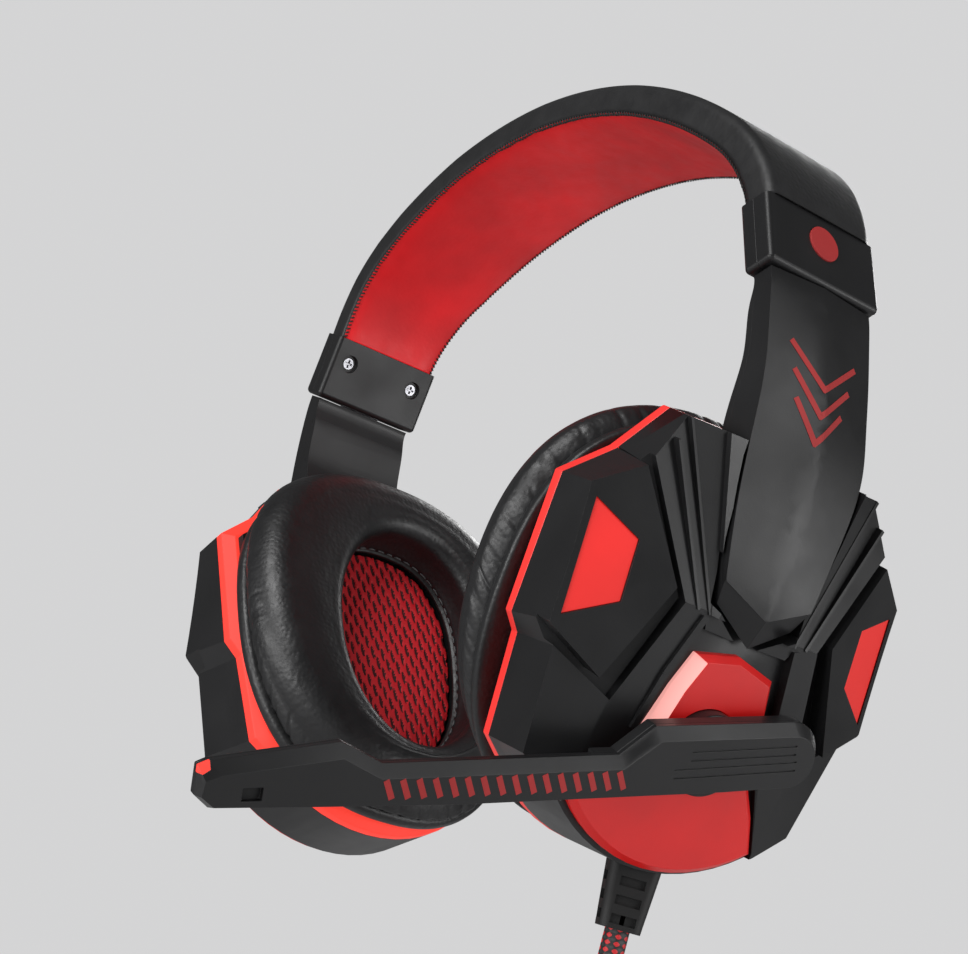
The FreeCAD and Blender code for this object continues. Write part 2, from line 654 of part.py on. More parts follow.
hollow = outline_loft(WALL, -0.5, FACE_N)
side_cap = union(sided([(-FAR, -FAR), (0, -FAR), (0, FAR), (-FAR, FAR)], -5, HOLLOW_SIDE))
hollow = hollow.common(side_cap)
hollow = hollow.common(block(EVERYWHERE, -5, HOLLOW_TOP))
hollow = hollow.common(block(EVERYWHERE, -5, HOLLOW_N))
under_channel = block(both([(0, HOLLOW_LOW), (-HOLLOW_MID, HOLLOW_LOW), (-HOLLOW_MID, FAR), (0, FAR)]),
                      lower(CHANNEL_PLANE, WALL), FAR)
hollow = hollow.cut(under_channel)
print("hollow", hollow.isValid(), len(hollow.Solids), round(hollow.Volume))
shell = body.cut(hollow)
bosses = []
cup_screws = []
for u, v, boss_top in BOSSES:
    bosses.append(cylinder(BOSS_R, u, v, -STRIP_DEPTH, boss_top))
    head = cylinder(CUP_SCREW_HEAD_R, u, v, BAFFLE_N, BAFFLE_N + CUP_SCREW_HEAD_T)
    shank = cylinder(CUP_SCREW_R, u, v, BAFFLE_N, CUP_SCREW_END_N)
    cup_screws.append(head.fuse(shank).removeSplitter())
shell = shell.fuse(bosses).removeSplitter()
window_cut = block(WINDOW, -1, FAR)
windows = [window_cut.common(block(PANEL, lower(PANEL_PLANE, WINDOW_DROP + WINDOW_T),
                                   lower(PANEL_PLANE, WINDOW_DROP)))]
windows.append(mirrored(windows[0]))
window_hole = block(WINDOW, WINDOW_FOOT_N, FAR)
shell = shell.cut([window_hole, mirrored(window_hole)])
pin = Part.makeCylinder(PIN_R, 2 * PIN_HALF_L, V(-PIN_HALF_L, PIN_V, PIN_N), V(1, 0, 0))
shell = shell.cut(cup_screws + [pin])
print("shell", shell.isValid(), len(shell.Solids), round(shell.Volume))

# cable boot, in the row frame
spin = FreeCAD.Rotation(BOOT_DIR, BOOT_SPIN)
boot_wide = spin.multVec(V(0, 1, 0))
boot_side = spin.multVec(V(-BOOT_DIR.z, 0, BOOT_DIR.x))


def boot_section(along, width, depth):
    at = BOOT_TOP + BOOT_DIR * along
    half_y = boot_wide * (width / 2)
    half_x = boot_side * (depth / 2)
    corners = [at - half_y - half_x, at + half_y - half_x, at + half_y + half_x, at - half_y + half_x]
    return Part.makePolygon(corners + [corners[0]])


boot = Part.makeLoft([boot_section(-BOOT_IN, BOOT_W[0], BOOT_T[0]),
                      boot_section(BOOT_L, BOOT_W[1], BOOT_T[1])], True, True)
if boot.Volume < 0:
    boot.reverse()
boot = boot.makeFillet(BOOT_ROUND, [e for e in boot.Edges if e.Length > BOOT_L])
BOOT = FreeCAD.Placement(FreeCAD.Matrix(boot_wide.x, -BOOT_DIR.x, boot_side.x, BOOT_TOP.x,
                                        boot_wide.y, -BOOT_DIR.y, boot_side.y, BOOT_TOP.y,
                                        boot_wide.z, -BOOT_DIR.z, boot_side.z, BOOT_TOP.z, 0, 0, 0, 1))
for i in range(3):
    down = SLOT_FIRST + SLOT_PITCH * i
    half_t = (BOOT_T[0] + (BOOT_T[1] - BOOT_T[0]) * down / BOOT_L) / 2
    half_w = (BOOT_W[0] + (BOOT_W[1] - BOOT_W[0]) * down / BOOT_L) / 2
    for side in (-1, 1):
        front = Part.makeBox(SLOT[0], SLOT[1], 2 * SLOT[2],
                             V(-SLOT[0] / 2, -down - SLOT[1] / 2, side * half_t - SLOT[2]))
        notch = Part.makeBox(2 * SLOT[2], SLOT[1], NOTCH_L,
                             V(side * half_w - SLOT[2], -down + NOTCH_UP - SLOT[1] / 2, -NOTCH_L / 2))
        for cut in (front, notch):
            cut.Placement = BOOT
            boot = boot.cut(cut)
lead_x = (BOOT_TOP + BOOT_DIR * (BOOT_L + LEAD_OUT)).x
lead = tube([BOOT_TOP + BOOT_DIR * (BOOT_L - LEAD_IN), V(lead_x, BOOT_TOP.y, LEAD_BEND_Z),
             V(lead_x, BOOT_TOP.y, COIL_Z)], CORD_R)
boot = boot.cut(lead)
boot_local = boot.copy()
boot_local.Placement = CUP.inverse().multiply(boot.Placement)
coil_at = V(lead_x, BOOT_TOP.y + COIL_R, COIL_Z)
coil = Part.makeTorus(COIL_R, COIL_TUBE_R, coil_at, V(1, 0, 0))
tail_y = BOOT_TOP.y + TAIL_IN
tail_x = lead_x + TAIL_SIDE
tail = tube([V(lead_x + TAIL_START[0], tail_y, COIL_Z + TAIL_START[1]), V(tail_x, tail_y, COIL_Z - TAIL_TURN_Z),
             V(tail_x, tail_y, COIL_Z - TAIL_L)], CORD_R)
tie = Part.makeTorus(COIL_R, COIL_TUBE_R + TIE_T, coil_at, V(1, 0, 0)).cut(coil)
tie = tie.common(Part.makeBox(FAR, TIE_W, FAR, coil_at - V(FAR / 2, TIE_W / 2, 0)))
plug_top = COIL_Z - TAIL_L
plug_low = plug_top - PLUG[2]
plug = Part.makeBox(PLUG[1], PLUG[0], PLUG[2], V(tail_x - PLUG[1] / 2, tail_y - PLUG[0] / 2, plug_low))
plug = plug.makeFillet(PLUG_ROUND, [e for e in plug.Edges if abs(e.tangentAt(e.FirstParameter).z) > 0.9])
usb_low = plug_low - USB[2]
usb = Part.makeBox(USB[1], USB[0], USB[2], V(tail_x - USB[1] / 2, tail_y - USB[0] / 2, usb_low))
usb = usb.cut(Part.makeBox(USB[1] - 2 * USB_WALL, USB[0] - 2 * USB_WALL, USB[2] - USB_BACK,
                           V(tail_x - USB[1] / 2 + USB_WALL, tail_y - USB[0] / 2 + USB_WALL, usb_low)))
save("cable_boot", [boot])
save("cable_lead", [lead])
save("cable_coil", [coil])
save("cable_tie", [tie])
save("cable_tail", [tail])
save("usb_plug", [plug])
save("usb_shell", [usb])

# rim parts
strip_rim = aligned(both(RIM))
strip_low = aligned(inset(both(RIM), STRIP_BEVEL))
low_wall = block(EVERYWHERE, -1, STRIP_TOP)
strip_edge = Part.makeLoft([section(strip_rim, -STRIP_EDGE), section(strip_rim, 0)], True, True)
strip_bevel = Part.makeLoft([section(strip_low, -STRIP_DEPTH), section(strip_rim, -STRIP_EDGE)], True, True)
light_strip = strip_edge.fuse(envelope.common(low_wall)).fuse(strip_bevel).removeSplitter()
light_strip = light_strip.cut(block(inset(both(RIM), STRIP_INNER), -9, 9))
baffle = block(inset(both(RIM), BAFFLE_INSET), BAFFLE_N, -STRIP_DEPTH)
baffle = baffle.cut([cylinder(DRIVER_OPEN_R, 0, DRIVER_V, -9, 9)] + cup_screws)
frame = cylinder(DRIVER_R, 0, DRIVER_V, -STRIP_DEPTH, DRIVER_BACK_N)
frame = frame.cut(cylinder(CONE_R, 0, DRIVER_V, -STRIP_DEPTH, DRIVER_FLOOR_N))
frame = frame.fuse(cylinder(MAGNET_R, 0, DRIVER_V, DRIVER_BACK_N, MAGNET_BACK_N)).removeSplitter()
cone = Part.makeCone(CONE_R, MAGNET_R, CONE_H, V(0, DRIVER_V, CONE_N))
cone = cone.cut(Part.makeCone(CONE_R - CONE_WALL, MAGNET_R - CONE_WALL, CONE_H,
                              V(0, DRIVER_V, CONE_N - CONE_WALL)))
board = block([(-BOARD[0] / 2, BOARD_V - BOARD[1] / 2), (BOARD[0] / 2, BOARD_V - BOARD[1] / 2),
               (BOARD[0] / 2, BOARD_V + BOARD[1] / 2), (-BOARD[0] / 2, BOARD_V + BOARD[1] / 2)],
              -STRIP_DEPTH, BOARD_T - STRIP_DEPTH)


def pad_wire(form, less, n):
    """Closed smooth outline at depth n: a rounded oval, wider towards its top, moved in by less."""
    half_u, half_v, mid_v, power, widen, mid_u = form
    points = []
    for i in range(OUTLINE_STEPS):
        a = 2 * pi * i / OUTLINE_STEPS
        v = copysign(abs(cos(a)) ** (2 / power), cos(a))
        u = copysign(abs(sin(a)) ** (2 / power), sin(a)) * (1 + widen * v)
        points.append(V(mid_u + u * (half_u - less), mid_v + v * (half_v - less), n))
    curve = Part.BSplineCurve()
    curve.interpolate(points, PeriodicFlag=True)
    return Part.Wire(curve.toShape())


def rounding(form, r, steps):
    """Wires of a rounded edge from the wall to the crest; a negative r rounds a hole."""
    wires = []
    for i in range(steps + 1):
        a = pi / 2 * i / steps
        wires.append(pad_wire(form, r * (1 - cos(a)), CUSHION_N + abs(r) * (1 - sin(a))))
    return wires


wires = [pad_wire(CUSHION_FOOT, 0, BAFFLE_N), pad_wire(CUSHION_FOOT, 0, LIP_N)]
cushion = Part.makeLoft(wires + rounding(CUSHION_CREST, CUSHION_ROUND, ROUND_STEPS), True, True)
wires = [pad_wire(HOLE_FOOT, 0, BAFFLE_N + 1), pad_wire(HOLE_FOOT, 0, SEAM_N)]
wires += rounding(HOLE_CREST, -HOLE_ROUND, ROUND_STEPS) + [pad_wire(HOLE_CREST, -HOLE_ROUND, CUSHION_N - 1)]
cushion = cushion.cut(Part.makeLoft(wires, True, True))
mesh = Part.Face(pad_wire(HOLE_FOOT, MESH_GAP, BAFFLE_N)).extrude(V(0, 0, -MESH_T))
print("cushion", cushion.isValid(), len(cushion.Solids), round(cushion.Volume))

# lower panel, light bar and microphone
panel_edge = aligned(both(LOWER_PANEL))
panel_face = aligned(inset(both(LOWER_PANEL), LOWER_BEVEL))
bevel_n = LOWER_PANEL_N - LOWER_BEVEL
lower_panel = block(panel_edge, RECESS_N, bevel_n).fuse(Part.makeLoft(
    [section(panel_edge, bevel_n), section(panel_face, LOWER_PANEL_N)], True, True)).removeSplitter()
hub_hole = cylinder(HUB_R + HUB_GAP, 0, HUB_V, 0, FAR)
light_bar = block(LIGHT_BAR, RECESS_N, plane3(LIGHT_BAR_TOP))
lower_panel = lower_panel.cut(block(LIGHT_BAR, RECESS_N - 1, FAR))
left_panel = lower_panel.cut(hub_hole)
hub = cylinder(HUB_R, 0, HUB_V, RECESS_N, HUB_N).fuse(cylinder(POST_R, 0, HUB_V, HUB_N, POST_N))
hub = hub.removeSplitter()
pivot_screw = cylinder(PIVOT_HEAD_R, 0, HUB_V, POST_N, POST_N + PIVOT_HEAD_T).fuse(
    cylinder(PIVOT_SHANK_R, 0, HUB_V, RECESS_N + 2, POST_N)).removeSplitter()
hub = hub.cut(pivot_screw)

sag = radians(BOOM_SAG)


def boom_uv(s, t):
    return (-cos(sag) * s - sin(sag) * t, HUB_V - sin(sag) * s + cos(sag) * t)


def boom_wire(points, rear, n):
    """The boom's outline at one depth: straight sides and a round rear end."""
    ring = [V(*boom_uv(s, t), n) for s, t in points]
    edges = [Part.LineSegment(a, b).toShape() for a, b in zip(ring, ring[1:])]
    edges.append(Part.Arc(ring[-1], V(*boom_uv(*rear), n), ring[0]).toShape())
    return Part.Wire(edges)


def boom_block(low, high):
    return Part.Face(boom_wire(BOOM, BOOM_REAR, low)).extrude(V(0, 0, high - low))


boom_low = boom_block(BOOM_N, BOOM_SPLIT_N)
thin = [boom_uv(s, t) for s, t in ((BOOM_THIN_S, -FAR), (3 * FAR, -FAR), (3 * FAR, FAR), (BOOM_THIN_S, FAR))]
boom_low = boom_low.cut(block(thin, 0, BOOM_THIN_N))
boom_low = boom_low.cut(cylinder(POST_R + RUN_GAP, 0, HUB_V, 0, FAR))
boom_top = boom_block(BOOM_SPLIT_N, BOOM_EDGE_N).fuse(Part.makeLoft(
    [boom_wire(BOOM, BOOM_REAR, BOOM_EDGE_N), boom_wire(BOOM_FACE, BOOM_FACE_REAR, BOOM_FACE_N)], True, True))
boom_top = boom_top.removeSplitter()
print("boom", boom_top.isValid(), round(boom_top.Volume))
for start, end in BOOM_LINES:
    line = [boom_uv(*start), boom_uv(*end)]
    groove = strip(line, BOOM_LINE_W, BOOM_FACE_N - BOOM_LINE_DEPTH, FAR)[0]
    island = strip(line, BOOM_LINE_W - 2 * BOOM_LINE_RIM, BOOM_FACE_N - 1, FAR + 1)[0]
    boom_top = boom_top.cut(groove.cut(island))
boom_top = boom_top.cut(cylinder(PIVOT_HEAD_R + PIVOT_ROOM, 0, HUB_V, 0, POST_N + PIVOT_HEAD_T + PIVOT_ROOM))
port_uv = boom_uv(PORT_S, PORT_T)
capsule = cylinder(MIC_R, port_uv[0], port_uv[1], BOOM_THIN_N + CAPSULE_UP, BOOM_FACE_N - PORT_DEPTH)
boom_low = boom_low.cut(capsule)
boom_top = boom_top.cut(capsule)
tip_zone = block([boom_uv(s, t) for s, t in TIP], BOOM_SPLIT_N + TIP_UP, FAR)
tip_light = boom_top.common(tip_zone)
boom_top = boom_top.cut(tip_zone)
half_s, half_t = PORT_HALF
corners = [boom_uv(PORT_S + a * half_s, PORT_T + b * half_t) for a, b in ((-1, -1), (1, -1), (1, 1), (-1, 1))]
port = block(corners, BOOM_FACE_N - PORT_DEPTH, FAR)
boom_top = boom_top.cut(port)

left_shell = shell.cut(boot_local)
for side, cup_shell, panel in (("left", left_shell, left_panel), ("right", shell, lower_panel)):
    pieces = {"shell": [cup_shell], "lower_panel": [panel], "baffle": [baffle], "light_strip": [light_strip],
              "window_front": [windows[0]], "window_rear": [windows[1]], "light_bar": [light_bar],
              "driver_frame": [frame], "driver_cone": [cone], "led_board": [board], "ear_mesh": [mesh],
              "cushion": [cushion], "pivot_pin": [pin], "cup_screws": cup_screws}
    for name, solids in pieces.items():
        placed = [to_cup(s) for s in solids]
        save(name + "_" + side, placed if side == "left" else [mirrored(s) for s in placed])
save("mic_hub", [to_cup(hub)])
save("mic_pivot_screw", [to_cup(pivot_screw)])
save("boom_inner", [to_cup(boom_low)])
save("boom_outer", [to_cup(boom_top)])
save("mic_capsule", [to_cup(capsule)])
save("tip_light", [to_cup(tip_light)])
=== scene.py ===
from math import ceil, copysign, cos, exp, pi, radians, sin
import bpy
from mathutils import Matrix, Vector, noise
from mathutils.bvhtree import BVHTree


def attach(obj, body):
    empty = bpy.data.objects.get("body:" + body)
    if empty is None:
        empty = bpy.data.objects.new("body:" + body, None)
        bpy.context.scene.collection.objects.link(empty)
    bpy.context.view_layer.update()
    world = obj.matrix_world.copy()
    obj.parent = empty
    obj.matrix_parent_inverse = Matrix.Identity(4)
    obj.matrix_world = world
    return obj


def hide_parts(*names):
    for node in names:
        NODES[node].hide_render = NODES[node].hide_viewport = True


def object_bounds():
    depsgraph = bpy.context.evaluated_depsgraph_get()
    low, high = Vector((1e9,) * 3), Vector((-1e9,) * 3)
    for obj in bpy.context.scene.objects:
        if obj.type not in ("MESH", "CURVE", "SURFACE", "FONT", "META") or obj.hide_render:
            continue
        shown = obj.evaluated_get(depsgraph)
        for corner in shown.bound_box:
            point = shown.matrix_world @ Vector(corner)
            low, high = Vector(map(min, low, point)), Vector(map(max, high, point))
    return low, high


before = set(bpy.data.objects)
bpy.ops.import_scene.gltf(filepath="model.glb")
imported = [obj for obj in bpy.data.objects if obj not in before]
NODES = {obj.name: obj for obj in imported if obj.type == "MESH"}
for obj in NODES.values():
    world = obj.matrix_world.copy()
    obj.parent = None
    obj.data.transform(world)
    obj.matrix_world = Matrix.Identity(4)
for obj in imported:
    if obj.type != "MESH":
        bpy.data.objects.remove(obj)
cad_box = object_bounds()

MM = 0.001
SIDES = ("left", "right")
scene = bpy.context.scene

# ---- camera ----
AZIMUTH, ELEVATION, ROLL = radians(56.39), radians(-16.31), radians(11.83)
CAMERA_AT = (0.397267, -0.274415, -0.228461)
LENS, SENSOR, SHIFT_X = 76.5, 36, -0.0112

back = Vector((sin(AZIMUTH) * cos(ELEVATION), -cos(AZIMUTH) * cos(ELEVATION), sin(ELEVATION)))
level = (-back).cross(Vector((0, 0, 1))).normalized()
rise = level.cross(-back)
across = level * cos(ROLL) + rise * sin(ROLL)
upward = rise * cos(ROLL) - level * sin(ROLL)
cam_data = bpy.data.cameras.new("camera")
cam = bpy.data.objects.new("camera", cam_data)
scene.collection.objects.link(cam)
turned = Matrix((across, upward, back)).transposed()
cam.matrix_world = Matrix.Translation(CAMERA_AT) @ turned.to_4x4()
cam_data.sensor_width = SENSOR
cam_data.lens = LENS
cam_data.shift_x = SHIFT_X
cam_data.clip_start = 0.01
scene.camera = cam
scene.view_settings.view_transform = "Standard"


# ---- materials ----
class Shader:
    """One Principled material with its bump chain."""

    def __init__(self, name, color, rough, metallic=0.0, coat=0.0, coat_rough=0.15, specular=0.5):
        self.mat = bpy.data.materials.new(name)
        self.mat.use_nodes = True
        self.tree = self.mat.node_tree
        self.bsdf = self.tree.nodes["Principled BSDF"]
        self.set("Base Color", (*color, 1))
        self.set("Roughness", rough)
        self.set("Metallic", metallic)
        self.set("Coat Weight", coat)
        self.set("Coat Roughness", coat_rough)
        self.set("Specular IOR Level", specular)
        self.coords = self.tree.nodes.new("ShaderNodeTexCoord")
        self.normal = None

    def set(self, socket, value):
        self.bsdf.inputs[socket].default_value = value

    def link(self, a, b):
        self.tree.links.new(a, b)

    def texture(self, kind, scale, stretch=(1, 1, 1), **inputs):
        mapping = self.tree.nodes.new("ShaderNodeMapping")
        mapping.inputs["Scale"].default_value = stretch
        self.link(self.coords.outputs["Object"], mapping.inputs["Vector"])
        n = self.tree.nodes.new(kind)
        n.inputs["Scale"].default_value = scale
        for key, value in inputs.items():
            n.inputs[key].default_value = value
        self.link(mapping.outputs["Vector"], n.inputs["Vector"])
        return n

    def noise(self, scale, detail, stretch=(1, 1, 1)):
        return self.texture("ShaderNodeTexNoise", scale, stretch, Detail=detail).outputs["Fac"]

    def bump(self, output, strength, distance):
        b = self.tree.nodes.new("ShaderNodeBump")
        b.inputs["Strength"].default_value = strength
        b.inputs["Distance"].default_value = distance
        self.link(output, b.inputs["Height"])
        if self.normal:
            self.link(self.normal, b.inputs["Normal"])
        self.normal = b.outputs["Normal"]
        self.link(self.normal, self.bsdf.inputs["Normal"])

    def ramp(self, output, stops, socket="Base Color"):
        r = self.tree.nodes.new("ShaderNodeValToRGB")
        elements = r.color_ramp.elements
        while len(elements) < len(stops):
            elements.new(0.5)
        for element, (at, value) in zip(elements, stops):
            element.position = at
            element.color = (*value, 1) if isinstance(value, tuple) else (value, value, value, 1)
        self.link(output, r.inputs["Fac"])
        self.link(r.outputs["Color"], self.bsdf.inputs[socket])


def spread(value, low, high, margin=0.3):
    """Ramp stops round a roughness or a colour, from low to high times its value."""
    def times(share):
        if isinstance(value, tuple):
            return tuple(min(1, c * share) for c in value)
        return min(1, value * share)

    return [(margin, times(low)), (1 - margin, times(high))]


def plastic(name, color, rough, grain=2600, depth=0.00005, coat=0.0):
    s = Shader(name, color, rough, coat=coat, specular=0.34)
    s.bump(s.noise(grain, 3.0), 0.25, depth)
    s.ramp(s.noise(60, 5.0), spread(rough, 0.88, 1.14, 0.35), "Roughness")
    s.ramp(s.noise(25, 4.0), spread(color, 0.85, 1.15))
    return s.mat


def leather(name, color, rough, scale, depth):
    s = Shader(name, color, rough, coat_rough=0.35, specular=0.45)
    cells = s.texture("ShaderNodeTexVoronoi", scale)
    cells.feature = "SMOOTH_F1"
    s.bump(cells.outputs["Distance"], 0.5, depth)
    creases = s.noise(240, 6.0)
    s.bump(creases, 0.2, depth * 1.5)
    s.ramp(creases, spread(rough, 0.85, 1.15), "Roughness")
    s.ramp(s.noise(40, 4.0), spread(color, 0.8, 1.2))
    return s.mat


def glow(name, color, rough, emission, strength, coat=0.1):
    s = Shader(name, color, rough, coat=coat)
    s.set("Emission Color", (*emission, 1))
    s.set("Emission Strength", strength)
    s.bump(s.noise(1500, 3.0), 0.15, 0.00004)
    s.ramp(s.noise(45, 3.0), spread(color, 0.86, 1.1))
    return s.mat


def steel(name, color, rough):
    s = Shader(name, color, rough, metallic=1.0)
    s.bump(s.noise(900, 4.0, (1, 1, 14)), 0.2, 0.00004)
    s.ramp(s.noise(300, 4.0), spread(rough, 0.8, 1.3), "Roughness")
    return s.mat


black_shell = plastic("black_shell", (0.0085, 0.0085, 0.009), 0.36, coat=0.04)
black_satin = plastic("black_satin", (0.008, 0.008, 0.0085), 0.40)
black_dark = plastic("black_dark", (0.005, 0.005, 0.0055), 0.6)
black_rubber = plastic("black_rubber", (0.009, 0.009, 0.009), 0.62, grain=1800)
black_leather = leather("black_leather", (0.0095, 0.0095, 0.010), 0.50, 900, 0.00012)
cushion_leather = leather("cushion_leather", (0.0075, 0.0075, 0.008), 0.42, 950, 0.00018)
thread = plastic("thread", (0.07, 0.07, 0.072), 0.7, grain=4000)
red_leather = leather("red_leather", (0.66, 0.006, 0.010), 0.5, 1100, 0.00006)
black_thread = plastic("black_thread", (0.014, 0.014, 0.014), 0.7, grain=4000)
red_window = glow("red_window", (0.55, 0.012, 0.010), 0.5, (1, 0.022, 0.014), 0.24, coat=0.0)
red_panel = glow("red_panel", (0.48, 0.004, 0.004), 0.42, (1, 0.008, 0.006), 0.12, coat=0.0)
red_print = plastic("red_print", (0.34, 0.022, 0.022), 0.6)
# one light strip in two copies: the glow is the strip's own, but the far copy glowing about twice as
# strong as the near one is painted light
light_near = glow("light_near", (0.55, 0.018, 0.014), 0.45, (1, 0.040, 0.032), 0.34)
light_far = glow("light_far", (0.45, 0.012, 0.008), 0.6, (1, 0.055, 0.032), 0.72, coat=0.0)
# painted highlight: the light bar's pink-white glow stands for light falling on the red panel's front
# bevel
light_bar = glow("light_bar", (0.5, 0.2, 0.18), 0.4, (1, 0.44, 0.40), 0.80)
mesh_red = plastic("mesh_red", (0.42, 0.006, 0.012), 0.62, grain=3200, depth=0.0001)
# painted shade: the dark colour laid on faces deep in the knit's holes, for the shadowed hollow behind
# the mesh
mesh_hole_shade = plastic("mesh_hole_shade", (0.03, 0.001, 0.002), 0.8)
steel_dark = steel("steel_dark", (0.30, 0.30, 0.32), 0.3)
steel_bright = steel("steel_bright", (0.62, 0.62, 0.64), 0.25)
board_mat = plastic("board_mat", (0.02, 0.12, 0.05), 0.4)
film_mat = plastic("film_mat", (0.08, 0.08, 0.09), 0.25)

CORD_LENGTH, CORD_D = 1.85, 0.0055
STRAND_PITCH, STRANDS_ROUND = 0.0038, 4


def braid(name):
    """Braided sleeve: crossing strands along the cord, with a red fleck where they lie on top."""
    s = Shader(name, (0.02, 0.02, 0.02), 0.55)
    split = s.tree.nodes.new("ShaderNodeSeparateXYZ")
    s.link(s.coords.outputs["UV"], split.inputs[0])

    def math(op, a, b=0.0):
        n = s.tree.nodes.new("ShaderNodeMath")
        n.operation = op
        for socket, value in zip(n.inputs, (a, b)):
            if isinstance(value, (int, float)):
                socket.default_value = value
            else:
                s.link(value, socket)
        return n.outputs[0]

    along = math("MULTIPLY", split.outputs["X"], 2 * pi * CORD_LENGTH / STRAND_PITCH)
    around = math("MULTIPLY", split.outputs["Y"], 2 * pi * STRANDS_ROUND)
    one = math("SINE", math("ADD", along, around))
    two = math("SINE", math("SUBTRACT", along, around))
    weave = math("MULTIPLY", one, two)
    s.bump(weave, 0.5, 0.0002)
    s.ramp(math("ADD", math("MULTIPLY", weave, 0.5), 0.5),
           [(0.0, (0.03, 0.03, 0.031)), (0.42, (0.008, 0.008, 0.008)), (0.6, (0.010, 0.006, 0.006)),
            (0.68, (0.55, 0.012, 0.016))])
    return s.mat


# ---- cup frame: u back, v up, n out ----
TOE = radians(23.605)
CUP = Matrix(((0, sin(TOE), cos(TOE), 59.085 * MM), (1, 0, 0, 2.631 * MM),
              (0, cos(TOE), -sin(TOE), -135 * MM), (0, 0, 0, 1)))
MIRROR = Matrix.Diagonal((-1, 1, 1, 1))


def cup_frame(side):
    return CUP if side == "left" else MIRROR @ CUP


def add_mesh(name, verts, faces, mat, body, smooth=True):
    mesh = bpy.data.meshes.new(name)
    mesh.from_pydata([tuple(v) for v in verts], [], faces)
    mesh.validate()
    mesh.update()
    obj = bpy.data.objects.new(name, mesh)
    scene.collection.objects.link(obj)
    mesh.materials.append(mat)
    for p in mesh.polygons:
        p.use_smooth = smooth
    if body:
        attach(obj, body)
    return obj


def grid_faces(rows, cols, wrap_rows=False, wrap_cols=False):
    faces = []
    for i in range(rows if wrap_rows else rows - 1):
        for j in range(cols if wrap_cols else cols - 1):
            a, b = i * cols + j, i * cols + (j + 1) % cols
            c, d = ((i + 1) % rows) * cols + (j + 1) % cols, ((i + 1) % rows) * cols + j
            faces.append((a, b, c, d))
    return faces


def thread_faces(base, rings, sides):
    """Faces of one closed thread, whose rings of points start at base."""
    faces = []
    for k in range(rings - 1):
        for m in range(sides):
            a, b = base + k * sides + m, base + k * sides + (m + 1) % sides
            faces.append((a, b, b + sides, a + sides))
    faces.append(tuple(range(base, base + sides))[::-1])
    faces.append(tuple(range(base + (rings - 1) * sides, base + rings * sides)))
    return faces


# ---- CAD pieces ----
WELD = 0.00002


def soften(node, mat, width, angle=28, dissolve=1.2):
    """Rounds the moulded edges of a CAD node, with modifiers only, and gives it its material.

    width is in mm, and both angles are in degrees: where a bevel starts, and what counts as flat.
    """
    obj = NODES[node]
    obj.data.materials.clear()
    obj.data.materials.append(mat)
    weld = obj.modifiers.new("weld", "WELD")
    weld.merge_threshold = WELD
    if dissolve:
        flat = obj.modifiers.new("flat", "DECIMATE")
        flat.decimate_type = "DISSOLVE"
        flat.angle_limit = radians(dissolve)
    if width:
        bevel = obj.modifiers.new("bevel", "BEVEL")
        bevel.width = width * MM
        bevel.segments = 3
        bevel.limit_method = "ANGLE"
        bevel.angle_limit = radians(angle)
        bevel.use_clamp_overlap = True
    for p in obj.data.polygons:
        p.use_smooth = True
    normals = obj.modifiers.new("normals", "WEIGHTED_NORMAL")
    normals.keep_sharp = True


for side in SIDES:
    strip_light = light_near if side == "left" else light_far
    soften("arm_outer_" + side, black_satin, 0.5, angle=24, dissolve=0)
    soften("badge_" + side, red_print, 0.15, angle=50)
    for node, mat, width in (("shell_", black_shell, 0.35), ("arm_inner_", black_satin, 0.3),
                             ("clamp_outer_", black_satin, 0.3), ("clamp_inner_", black_satin, 0.3),
                             ("lower_panel_", red_panel, 0.3), ("light_bar_", light_bar, 0.15),
                             ("light_strip_", strip_light, 0.25), ("window_front_", red_window, 0.2),
                             ("window_rear_", red_window, 0.2), ("baffle_", black_dark, 0.3),
                             ("driver_frame_", black_dark, 0.3), ("driver_cone_", film_mat, 0.0),
                             ("led_board_", board_mat, 0.1), ("pivot_pin_", steel_dark, 0.1),
                             ("cup_screws_", steel_dark, 0.1), ("arm_screws_", steel_dark, 0.1),
                             ("slider_rail_", steel_bright, 0.1)):
        soften(node + side, mat, width)
for node, mat, width in (("boom_outer", black_shell, 0.4), ("boom_inner", black_satin, 0.3),
                         ("mic_hub", black_satin, 0.4), ("mic_pivot_screw", steel_dark, 0.1),
                         ("mic_capsule", black_dark, 0.1), ("tip_light", light_far, 0.2),
                         ("clamp_screws", steel_dark, 0.12), ("headband_spring", steel_bright, 0.1),
                         ("cable_boot", black_rubber, 0.35), ("usb_plug", black_satin, 0.5),
                         ("usb_shell", steel_bright, 0.15), ("cable_tie", black_rubber, 0.2),
                         ("headband_foam", black_dark, 0.0)):
    soften(node, mat, width)


# ---- headband ----
CROWN_R, SHOULDER_R = 0.118, 0.0338
CROWN, END = radians(35.2), radians(72.84)
# distance from the middle along x, and the band's half width there, in mm
WIDTHS = [(0, 19.9), (34, 19.6), (56, 18.75), (66, 18.0), (74, 16.9), (81, 15.6), (96, 15.4)]
BAND_HALF = CROWN_R * CROWN + SHOULDER_R * (END - CROWN)
STATIONS = 361


def arch(turn, offset):
    """Point on the band's middle line at this turn from the top, moved outward by offset."""
    side = 1 if turn > 0 else -1
    if abs(turn) <= CROWN:
        reach = CROWN_R + offset
        return Vector((reach * sin(turn), 0, -CROWN_R + reach * cos(turn)))
    step, reach = CROWN_R - SHOULDER_R, SHOULDER_R + offset
    return Vector((side * step * sin(CROWN) + reach * sin(turn), 0,
                   -CROWN_R + step * cos(CROWN) + reach * cos(turn)))


def half_width(x):
    x = abs(x) / MM
    for (x1, w1), (x2, w2) in zip(WIDTHS, WIDTHS[1:]):
        if x <= x2:
            return (w1 + (w2 - w1) * (x - x1) / (x2 - x1)) * MM
    return WIDTHS[-1][1] * MM


def turn_at(length):
    """Turn reached after this distance along the lining from the middle."""
    side = 1 if length > 0 else -1
    first = CROWN_R * CROWN
    if abs(length) <= first:
        return length / CROWN_R
    return side * (CROWN + (abs(length) - first) / SHOULDER_R)


